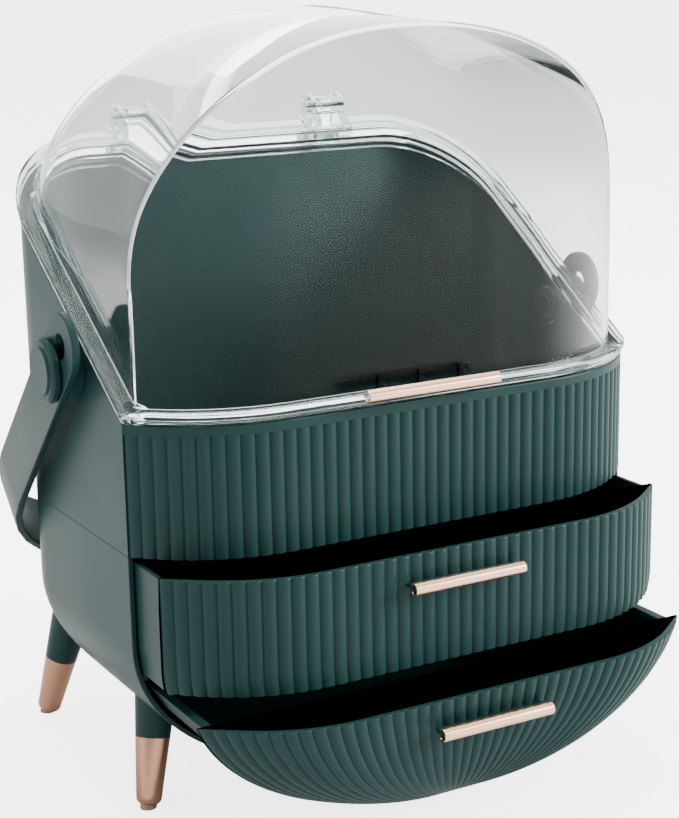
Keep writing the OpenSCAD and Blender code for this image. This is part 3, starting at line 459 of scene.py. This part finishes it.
def clear_plastic(name, tint, roughness, bend, edge_light):
    """Clear moulded styrene. Lamps shine through it, so what stands inside is lit, and
    light that runs along inside a wall gets out at its edge."""
    mat, tree, shader = new_material(name)
    shader.inputs["Base Color"].default_value = (*tint, 1)
    shader.inputs["Roughness"].default_value = roughness
    shader.inputs["IOR"].default_value = bend
    shader.inputs["Transmission Weight"].default_value = 1
    shader.inputs["Specular Tint"].default_value = (edge_light, edge_light, edge_light, 1)
    place = tree.nodes.new("ShaderNodeTexCoord")
    ripple = tree.nodes.new("ShaderNodeTexNoise")
    ripple.inputs["Scale"].default_value = 16
    tree.links.new(place.outputs["Object"], ripple.inputs["Vector"])
    bump = tree.nodes.new("ShaderNodeBump")
    bump.inputs["Strength"].default_value = 0.12
    bump.inputs["Distance"].default_value = 0.4 * MM
    tree.links.new(ripple.outputs["Fac"], bump.inputs["Height"])
    tree.links.new(bump.outputs["Normal"], shader.inputs["Normal"])
    through = tree.nodes.new("ShaderNodeBsdfTransparent")
    through.inputs["Color"].default_value = (*(THROUGH_SHARE * t for t in tint), 1)
    rays = tree.nodes.new("ShaderNodeLightPath")
    blend = tree.nodes.new("ShaderNodeMixShader")
    soft = tree.nodes.new("ShaderNodeMath")
    soft.operation = "MAXIMUM"
    tree.links.new(rays.outputs["Is Shadow Ray"], soft.inputs[0])
    tree.links.new(rays.outputs["Is Diffuse Ray"], soft.inputs[1])
    guided = tree.nodes.new("ShaderNodeMath")
    guided.operation = "GREATER_THAN"
    guided.inputs[1].default_value = GUIDED_DEPTH
    tree.links.new(rays.outputs["Glossy Depth"], guided.inputs[0])
    passing = tree.nodes.new("ShaderNodeMath")
    passing.operation = "MAXIMUM"
    tree.links.new(soft.outputs["Value"], passing.inputs[0])
    tree.links.new(guided.outputs["Value"], passing.inputs[1])
    tree.links.new(passing.outputs["Value"], blend.inputs["Fac"])
    tree.links.new(shader.outputs["BSDF"], blend.inputs[1])
    tree.links.new(through.outputs["BSDF"], blend.inputs[2])
    tree.links.new(blend.outputs["Shader"], tree.nodes["Material Output"].inputs["Surface"])
    return mat


clear_rim = clear_plastic("clear_rim", (0.74, 0.8, 0.8), roughness=0.03, bend=1.2, edge_light=0.45)
rounded_copy("rim_frame", clear_rim, "case", "clear_plastic", 0.35)


STREAK, DULLER = 0.12, 0.12                  # how much darker and rougher the lines are


def metal(name, colour, roughness, brush):
    """Bare or plated metal with fine lines left by polishing."""
    mat, tree, shader = new_material(name)
    shader.inputs["Metallic"].default_value = 1
    place = tree.nodes.new("ShaderNodeTexCoord")
    turn = tree.nodes.new("ShaderNodeMapping")
    turn.inputs["Scale"].default_value = brush
    lines = tree.nodes.new("ShaderNodeTexNoise")
    lines.inputs["Scale"].default_value = 900
    lines.inputs["Detail"].default_value = 3
    tree.links.new(place.outputs["Object"], turn.inputs["Vector"])
    tree.links.new(turn.outputs["Vector"], lines.inputs["Vector"])
    tone = tree.nodes.new("ShaderNodeMix")
    tone.data_type = "RGBA"
    tone.inputs["A"].default_value = (*colour, 1)
    tone.inputs["B"].default_value = (*(c * (1 - STREAK) for c in colour), 1)
    tree.links.new(lines.outputs["Fac"], tone.inputs["Factor"])
    tree.links.new(tone.outputs["Result"], shader.inputs["Base Color"])
    rough = tree.nodes.new("ShaderNodeMapRange")
    rough.inputs["To Min"].default_value = roughness
    rough.inputs["To Max"].default_value = roughness + DULLER
    tree.links.new(lines.outputs["Fac"], rough.inputs["Value"])
    tree.links.new(rough.outputs["Result"], shader.inputs["Roughness"])
    return mat


pin_steel = metal("pin_steel", (0.62, 0.62, 0.63), 0.22, (0.1, 1, 1))
rounded_copy("hinge_pins", pin_steel, "case", "steel", 0.2)

# ---- Clear cover ----
# One clear moulding: a bowed front wall, an arch that runs back over the case
# and turns down to the rim at the rear, and a thick flange that closes on the frame.
HOOD_INSET, CLEAR_WALL, SPRING_Z, ARCH_TOP, CLIMB, ARCH_N = 6, 2, 234, 334, 5, 2.2
CROWN_R, FLANGE_LOW, FLANGE_HIGH, FLANGE_OUT = 55, 2.6, 5.6, 1.5
HOOD_FOOT = FLANGE_HIGH - 0.5                # the walls end a little inside the flange
BASE_ABOVE, ARCH_ABOVE = 2, 3                # least heights of the arch's base and ends above the foot
HOOD_BACK = CASE_D - HOOD_INSET
CROWN_Y = HOOD_BACK - CROWN_R
ARCH_STEPS, WALL_STEPS, LEVEL_STEPS, BACK_STEPS = 72, 10, 3, 14
CREASE_TURN, CREASE_Y, CREASE_R, CREASE_STEPS = math.radians(24), 5, 3.2, 5
HOOD_JOIN = 0.01
HOOD_R = bow_radius(CASE_W) - HOOD_INSET
HALF_HOOD = CASE_W / 2 - HOOD_INSET


def hood_front(x):
    """How far forward the hood's front wall stands at x."""
    past = max(0.0, abs(x) - BOW_FLAT / 2)
    return -BOW + bow_radius(CASE_W) - math.sqrt(HOOD_R ** 2 - past ** 2)


def hood_section(y):
    """Left wall, arch and right wall of the hood at depth y, from foot to foot."""
    late = max(0.0, (y - CROWN_Y) / CROWN_R)
    top = ARCH_TOP + CLIMB * max(0.0, min(y, CROWN_Y)) / CROWN_Y
    if y > CROWN_Y:
        top += math.sqrt(max(0.0, CROWN_R ** 2 - (y - CROWN_Y) ** 2)) - CROWN_R
    half = HALF_HOOD
    if y > CASE_D - REAR_R:
        half = CASE_W / 2 - REAR_R + math.sqrt(
            max(0.0, (REAR_R - HOOD_INSET) ** 2 - (y - CASE_D + REAR_R) ** 2))
    low = rim_height(y, HOOD_FOOT)
    base = SPRING_Z + max(0.0, low + BASE_ABOVE - SPRING_Z) * late ** 2
    # Where the slope of the rim stands above the spring line, the arch starts on the rim
    start = math.asin(min(1.0, (max(0.0, low + ARCH_ABOVE - base) / (top - base)) ** (ARCH_N / 2)))
    arch = []
    for step in range(ARCH_STEPS + 1):
        angle = start + (math.pi - 2 * start) * step / ARCH_STEPS
        across, high = math.cos(angle), math.sin(angle)
        arch.append((-math.copysign(abs(across) ** (2 / ARCH_N), across) * half,
                     base + (top - base) * abs(high) ** (2 / ARCH_N)))
    left = [(-half, low + (arch[0][1] - low) * step / WALL_STEPS) for step in range(WALL_STEPS)]
    right_side = [(-x, z) for x, z in reversed(left)]
    return [(x, y, z) for x, z in left + arch + right_side]


# The first row lies on the bowed front, so that the arch meets the front wall on it
bm = bmesh.new()
front_y = hood_front(HALF_HOOD)
first = [(x, hood_front(x), z) for x, _, z in hood_section(front_y)]
row = front_row = start_row(bm, first, closed=False)
for step in range(1, LEVEL_STEPS + 1):
    depth = front_y + (CROWN_Y - front_y) * step / LEVEL_STEPS
    row = next_row(bm, row, hood_section(depth), closed=False)
for step in range(1, BACK_STEPS + 1):
    depth = CROWN_Y + CROWN_R * math.sin(math.radians(90 * step / BACK_STEPS))
    row = next_row(bm, row, hood_section(depth), closed=False)
bm.faces.new(row)
wall_row = front_row[WALL_STEPS:-WALL_STEPS]
foot_z = rim_height(-BOW, HOOD_FOOT)
tops = [vert.co.copy() for vert in wall_row]
for step in range(1, WALL_STEPS + 1):
    wall_row = next_row(bm, wall_row, [
        (p.x, p.y, p.z + (foot_z - p.z) * step / WALL_STEPS) for p in tops], closed=False)
bmesh.ops.remove_doubles(bm, verts=bm.verts, dist=HOOD_JOIN)
bmesh.ops.recalc_face_normals(bm, faces=bm.faces)
creases = [e for e in bm.edges if len(e.link_faces) == 2 and e.calc_face_angle() > CREASE_TURN
           and e.verts[0].co.y < CREASE_Y and e.verts[1].co.y < CREASE_Y]
round_off(bm, creases, CREASE_R, CREASE_STEPS)
bmesh.ops.solidify(bm, geom=bm.faces[:], thickness=CLEAR_WALL)
clear_cover = clear_plastic("clear_cover", (0.965, 0.975, 0.975), roughness=0.015, bend=1.5,
                            edge_light=0.06)
show(to_data(bm, "cover_hood_part"), clear_cover, "cover", "clear_plastic", "cover_hood")

# The cover's flange, notched at the back where the frame's ears stand
EAR_MID, NOTCH_HALF, NOTCH_Y = 50.75, 12, 141
FLANGE_TURN, FLANGE_EDGE, FLANGE_STEPS = math.radians(60), 0.8, 3
HINGE_Y = CASE_D + 4
HINGE_Z = rim_height(CASE_D, FLANGE_HIGH) + 7.5


def flange_outline(inset, notched):
    """Outline of the flange, with the same number of points for its outer and inner edge."""
    front, rear = front_curve(CASE_W, False, inset), rear_curve(inset)
    half = len(rear) // 2
    back = rear[half - 1][1]
    notches = []
    for side in (1, -1):
        for x, deep in ((EAR_MID + side * NOTCH_HALF, False), (EAR_MID + side * NOTCH_HALF, True),
                        (EAR_MID - side * NOTCH_HALF, True), (EAR_MID - side * NOTCH_HALF, False)):
            notches.append((side * x, min(back, NOTCH_Y) if deep and notched else back))
    return front + rear[:half] + notches + rear[half:]


bm = bmesh.new()
outer, inner = flange_outline(-FLANGE_OUT, True), flange_outline(HOOD_INSET + CLEAR_WALL, False)
rows = []
for outline, above in ((outer, FLANGE_LOW), (outer, FLANGE_HIGH),
                       (inner, FLANGE_HIGH), (inner, FLANGE_LOW)):
    points = [(x, y, rim_height(y, above)) for x, y in outline]
    rows.append(next_row(bm, rows[-1], points) if rows else start_row(bm, points))
rows.append(next_row(bm, rows[-1], [(x, y, rim_height(y, FLANGE_LOW)) for x, y in outer]))
bmesh.ops.remove_doubles(bm, verts=bm.verts, dist=JOIN)
bmesh.ops.recalc_face_normals(bm, faces=bm.faces)
corners = [e for e in bm.edges if len(e.link_faces) == 2 and e.calc_face_angle() > FLANGE_TURN
           and e.verts[0].co.y < NOTCH_Y - 1 and e.verts[1].co.y < NOTCH_Y - 1]
round_off(bm, corners, FLANGE_EDGE, FLANGE_STEPS)
show(to_data(bm, "cover_flange_part"), clear_rim, "cover", "clear_plastic")


def extruded(bm, outline, low_x, high_x):
    """A solid with the same outline, in y and z, at two places along x."""
    row = start_row(bm, [(low_x, y, z) for y, z in outline])
    bm.faces.new(row)
    bm.faces.new(next_row(bm, row, [(high_x, y, z) for y, z in outline]))


# Each knuckle is an eye round the pin that grows out of the hood's back, and the
# tab in front is a flat lip with three small ribs behind it
KNUCKLE_R, KNUCKLE_HALF, PIN_R = 4, 6.25, 1.55
TAB_HALF, LIP_T, LEDGE_OUT = 31, 2.4, 6
TAB_RAISE, TAB_SINK, TAB_RIBS, RIB_HALF, RIB_TALL = 0.6, 0.1, (-20, 0, 20), 1, 6
root_low = rim_height(HOOD_BACK, FLANGE_HIGH) - 0.5 - HINGE_Z
root = [(HOOD_BACK - 1 - HINGE_Y, root_low), (-1, 0.3 - KNUCKLE_R), (-1, KNUCKLE_R - 0.3),
        (HOOD_BACK - 1 - HINGE_Y, KNUCKLE_R)]


def eye_reach(angle):
    """Distance from the pin's axis to the knuckle's outside."""
    way, far = Vector((math.cos(angle), math.sin(angle))), KNUCKLE_R
    for one, two in zip(root, root[1:] + root[:1]):
        side, off = Vector(two) - Vector(one), Vector(one)
        cross = way.cross(side)
        if abs(cross) > 1e-9:
            reach, share = off.cross(side) / cross, off.cross(way) / cross
            if 0 <= share <= 1:
                far = max(far, reach)
    return far


EYE_STEPS = 72
turns = [2 * math.pi * step / EYE_STEPS for step in range(EYE_STEPS)]
bm = bmesh.new()
for side in (-1, 1):
    loops = []
    for x, bore in ((-KNUCKLE_HALF, True), (-KNUCKLE_HALF, False),
                    (KNUCKLE_HALF, False), (KNUCKLE_HALF, True)):
        points = [(side * EAR_MID + x, HINGE_Y + (PIN_R if bore else eye_reach(a)) * math.cos(a),
                   HINGE_Z + (PIN_R if bore else eye_reach(a)) * math.sin(a)) for a in turns]
        loops.append(next_row(bm, loops[-1], points) if loops else start_row(bm, points))
    next_row(bm, loops[-1], [vert.co.copy() for vert in loops[0]])
tab_z = RIM_Z + FLANGE_HIGH + TAB_RAISE
tab_root = -BOW - FLANGE_OUT + TAB_SINK
extruded(bm, [(-BOW - LEDGE_OUT, tab_z - LIP_T / 2), (tab_root, tab_z - LIP_T / 2),
              (tab_root, tab_z + LIP_T / 2), (-BOW - LEDGE_OUT, tab_z + LIP_T / 2)], -TAB_HALF, TAB_HALF)
for x in TAB_RIBS:
    extruded(bm, [(tab_root, tab_z - TAB_RAISE), (-BOW + HOOD_INSET, tab_z - TAB_RAISE),
                  (-BOW + HOOD_INSET, tab_z + RIB_TALL), (tab_root, tab_z + LIP_T / 2)],
             x - RIB_HALF, x + RIB_HALF)
show(to_data(bm, "cover_fittings_part"), clear_rim, "cover", "clear_plastic")


# ---- Pulls ----
# Each pull is a rolled tube of rose-gold plated strip, open along its rear,
# that clips over a ledge on a drawer's front or over the cover's tab.
PULL_D, PULL_WALL, PULL_GAP, PULL_STEPS, PULL_EDGE = 5.6, 0.9, 0.1, 36, 0.25
rose_gold = metal("rose_gold", (0.9, 0.54, 0.37), 0.2, (0.06, 1, 1))


def rolled_pull(node, body):
    """A pull as long as its CAD node, with its open side to the back."""
    low, high = (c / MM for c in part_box(node))
    axis_y, axis_z = low.y + PULL_D / 2, (low.z + high.z) / 2
    bm = bmesh.new()
    points = []
    for radius, sweep in ((PULL_D / 2, 1), (PULL_D / 2 - PULL_WALL, -1)):
        edge = math.asin((LIP_T / 2 + PULL_GAP) / radius)
        turns = [edge + (2 * math.pi - 2 * edge) * step / PULL_STEPS
                 for step in range(PULL_STEPS + 1)][::sweep]
        points += [(low.x, axis_y + radius * math.cos(a), axis_z + radius * math.sin(a)) for a in turns]
    row = start_row(bm, points)
    bm.faces.new(row)
    row = next_row(bm, row, [(high.x, y, z) for x, y, z in points])
    bm.faces.new(row)
    bmesh.ops.recalc_face_normals(bm, faces=bm.faces)
    ends = [e for e in bm.edges if abs(e.verts[0].co.x - e.verts[1].co.x) < 1e-6]
    round_off(bm, ends, PULL_EDGE, SOFT_STEPS)
    bmesh.ops.translate(bm, vec=(0, -FRONT_Y / MM, 0), verts=bm.verts)
    show(to_data(bm, node + "_part"), rose_gold, body, "rose_gold", node)


for node, body in (("cover_pull", "cover"), ("upper_drawer_pull", "upper_drawer"),
                   ("lower_drawer_pull", "lower_drawer")):
    rolled_pull(node, body)

# ---- Drawers ----
# Each drawer is a tray with a ribbed front welded to it. The upper front is
# upright until the belly begins, and the lower one is a quarter of a bowl.
BOW_N, DRAWER_WALL, FRONT_IN = 1.28, 2, 1


def ribbed_front(node, body, side, out, heights, bed):
    """The front of a drawer: its outer ribs and its inner wall, drawn down the belly. One
    flat face closes the top, and it also covers the bow behind the ribs."""
    width, wall_in = CASE_W - 2 * FRONT_IN, side + DRAWER_WALL
    edge = CASE_W / 2 - wall_in
    ribs = front_curve(width, True)
    smooth = [(max(-edge, min(edge, x)), y) for x, y in front_curve(width, False, DRAWER_WALL + FLUTE_DEPTH)]
    smooth[0], smooth[-1] = (-edge, 0), (edge, 0)
    bm = bmesh.new()
    row = None
    for z in heights:
        shrink = belly_share(z, FRONT_IN)
        in_z = max(z, bed)
        in_shrink = belly_share(in_z, wall_in)
        points = [(x * shrink, min(0, y) * shrink ** BOW_N - out, z) for x, y in ribs]
        points += [(x * in_shrink, min(0, y) * in_shrink ** BOW_N - out, in_z) for x, y in reversed(smooth)]
        row = next_row(bm, row, points) if row else start_row(bm, points)
        if z == heights[0]:
            first = row
            bm.faces.new(row)
    half = len(row) // 2
    bm.faces.new(row[:half])
    bm.faces.new(row[half:])
    bm.faces.new((row[0], row[half - 1], row[half], row[-1]))
    bmesh.ops.dissolve_degenerate(bm, edges=bm.edges, dist=JOIN)
    bmesh.ops.recalc_face_normals(bm, faces=bm.faces)
    tops = set(first)
    top_edges = [e for e in bm.edges if e.verts[0] in tops and e.verts[1] in tops]
    round_off(bm, top_edges, SOFT_EDGE, SOFT_STEPS)
    show(to_data(bm, node + "_part"), case_green, body, "green_plastic", node)


UPPER_SIDE, UPPER_OUT, UPPER_TOP, UPPER_MID, UPPER_LOW, UPPER_BED = 3.0, 26.7, 122.8, 110, 74, 76
LOWER_SIDE, LOWER_OUT, LOWER_TOP, LOWER_BED = 4.0, 50.6, 67, 22.6
UPPER_STEPS, LOWER_STEPS = 5, 26
ribbed_front("upper_drawer_front", "upper_drawer", UPPER_SIDE, UPPER_OUT,
             [UPPER_TOP, UPPER_MID] + belly_heights(BELLY_Z, UPPER_LOW, FRONT_IN, UPPER_STEPS),
             UPPER_BED)
ribbed_front("lower_drawer_front", "lower_drawer", LOWER_SIDE, LOWER_OUT,
             belly_heights(LOWER_TOP, BOTTOM_Z, FRONT_IN, LOWER_STEPS), LOWER_BED)
for drawer in ("upper_drawer", "lower_drawer"):
    rounded_copy(drawer + "_tray", case_green, drawer, "green_plastic", width=0.35)
    rounded_copy(drawer + "_ledge", case_green, drawer, "green_plastic", width=0.25)

# ---- Handle ----
# A flat green strap bent to a bail. Each arm has a keyhole that slides over a
# flatted pin, which ends in a round button outside and a snap ring inside.
rounded_copy("handle", case_green, "handle", "green_plastic", width=0.7, steps=3)
for side in ("left", "right"):
    rounded_copy("handle_button_" + side, case_green, "handle_pins", "green_plastic", 0.4)
    rounded_copy("handle_boss_" + side, case_green, "case", "green_plastic", 0.4)
# The snap rings inside take the darker green, which is painted shade.
rounded_copy("pivot_retainers", painted_shade_green, "handle_pins", "inner_plastic", 0.3)

# ---- Legs ----
# Four tapered green legs, splayed a little, each screwed to the belly from
# inside. A rose-gold ferrule and a small rubber pad finish each foot.
foot_rubber = plastic("foot_rubber", (0.2, 0.12, 0.09), 0.6)
cap_gold = metal("cap_gold", (0.36, 0.19, 0.125), 0.08, (1, 1, 0.05))
for end in ("front", "rear"):
    for side in ("left", "right"):
        rounded_copy(f"leg_{end}_{side}", case_green, "case", "green_plastic", 0.3)
        rounded_copy(f"leg_cap_{end}_{side}", cap_gold, "case", "rose_gold", 0.3)
rounded_copy("foot_pads", foot_rubber, "case", "foot_rubber", 0.2)
rounded_copy("leg_screws", pin_steel, "case", "steel", 0.15)
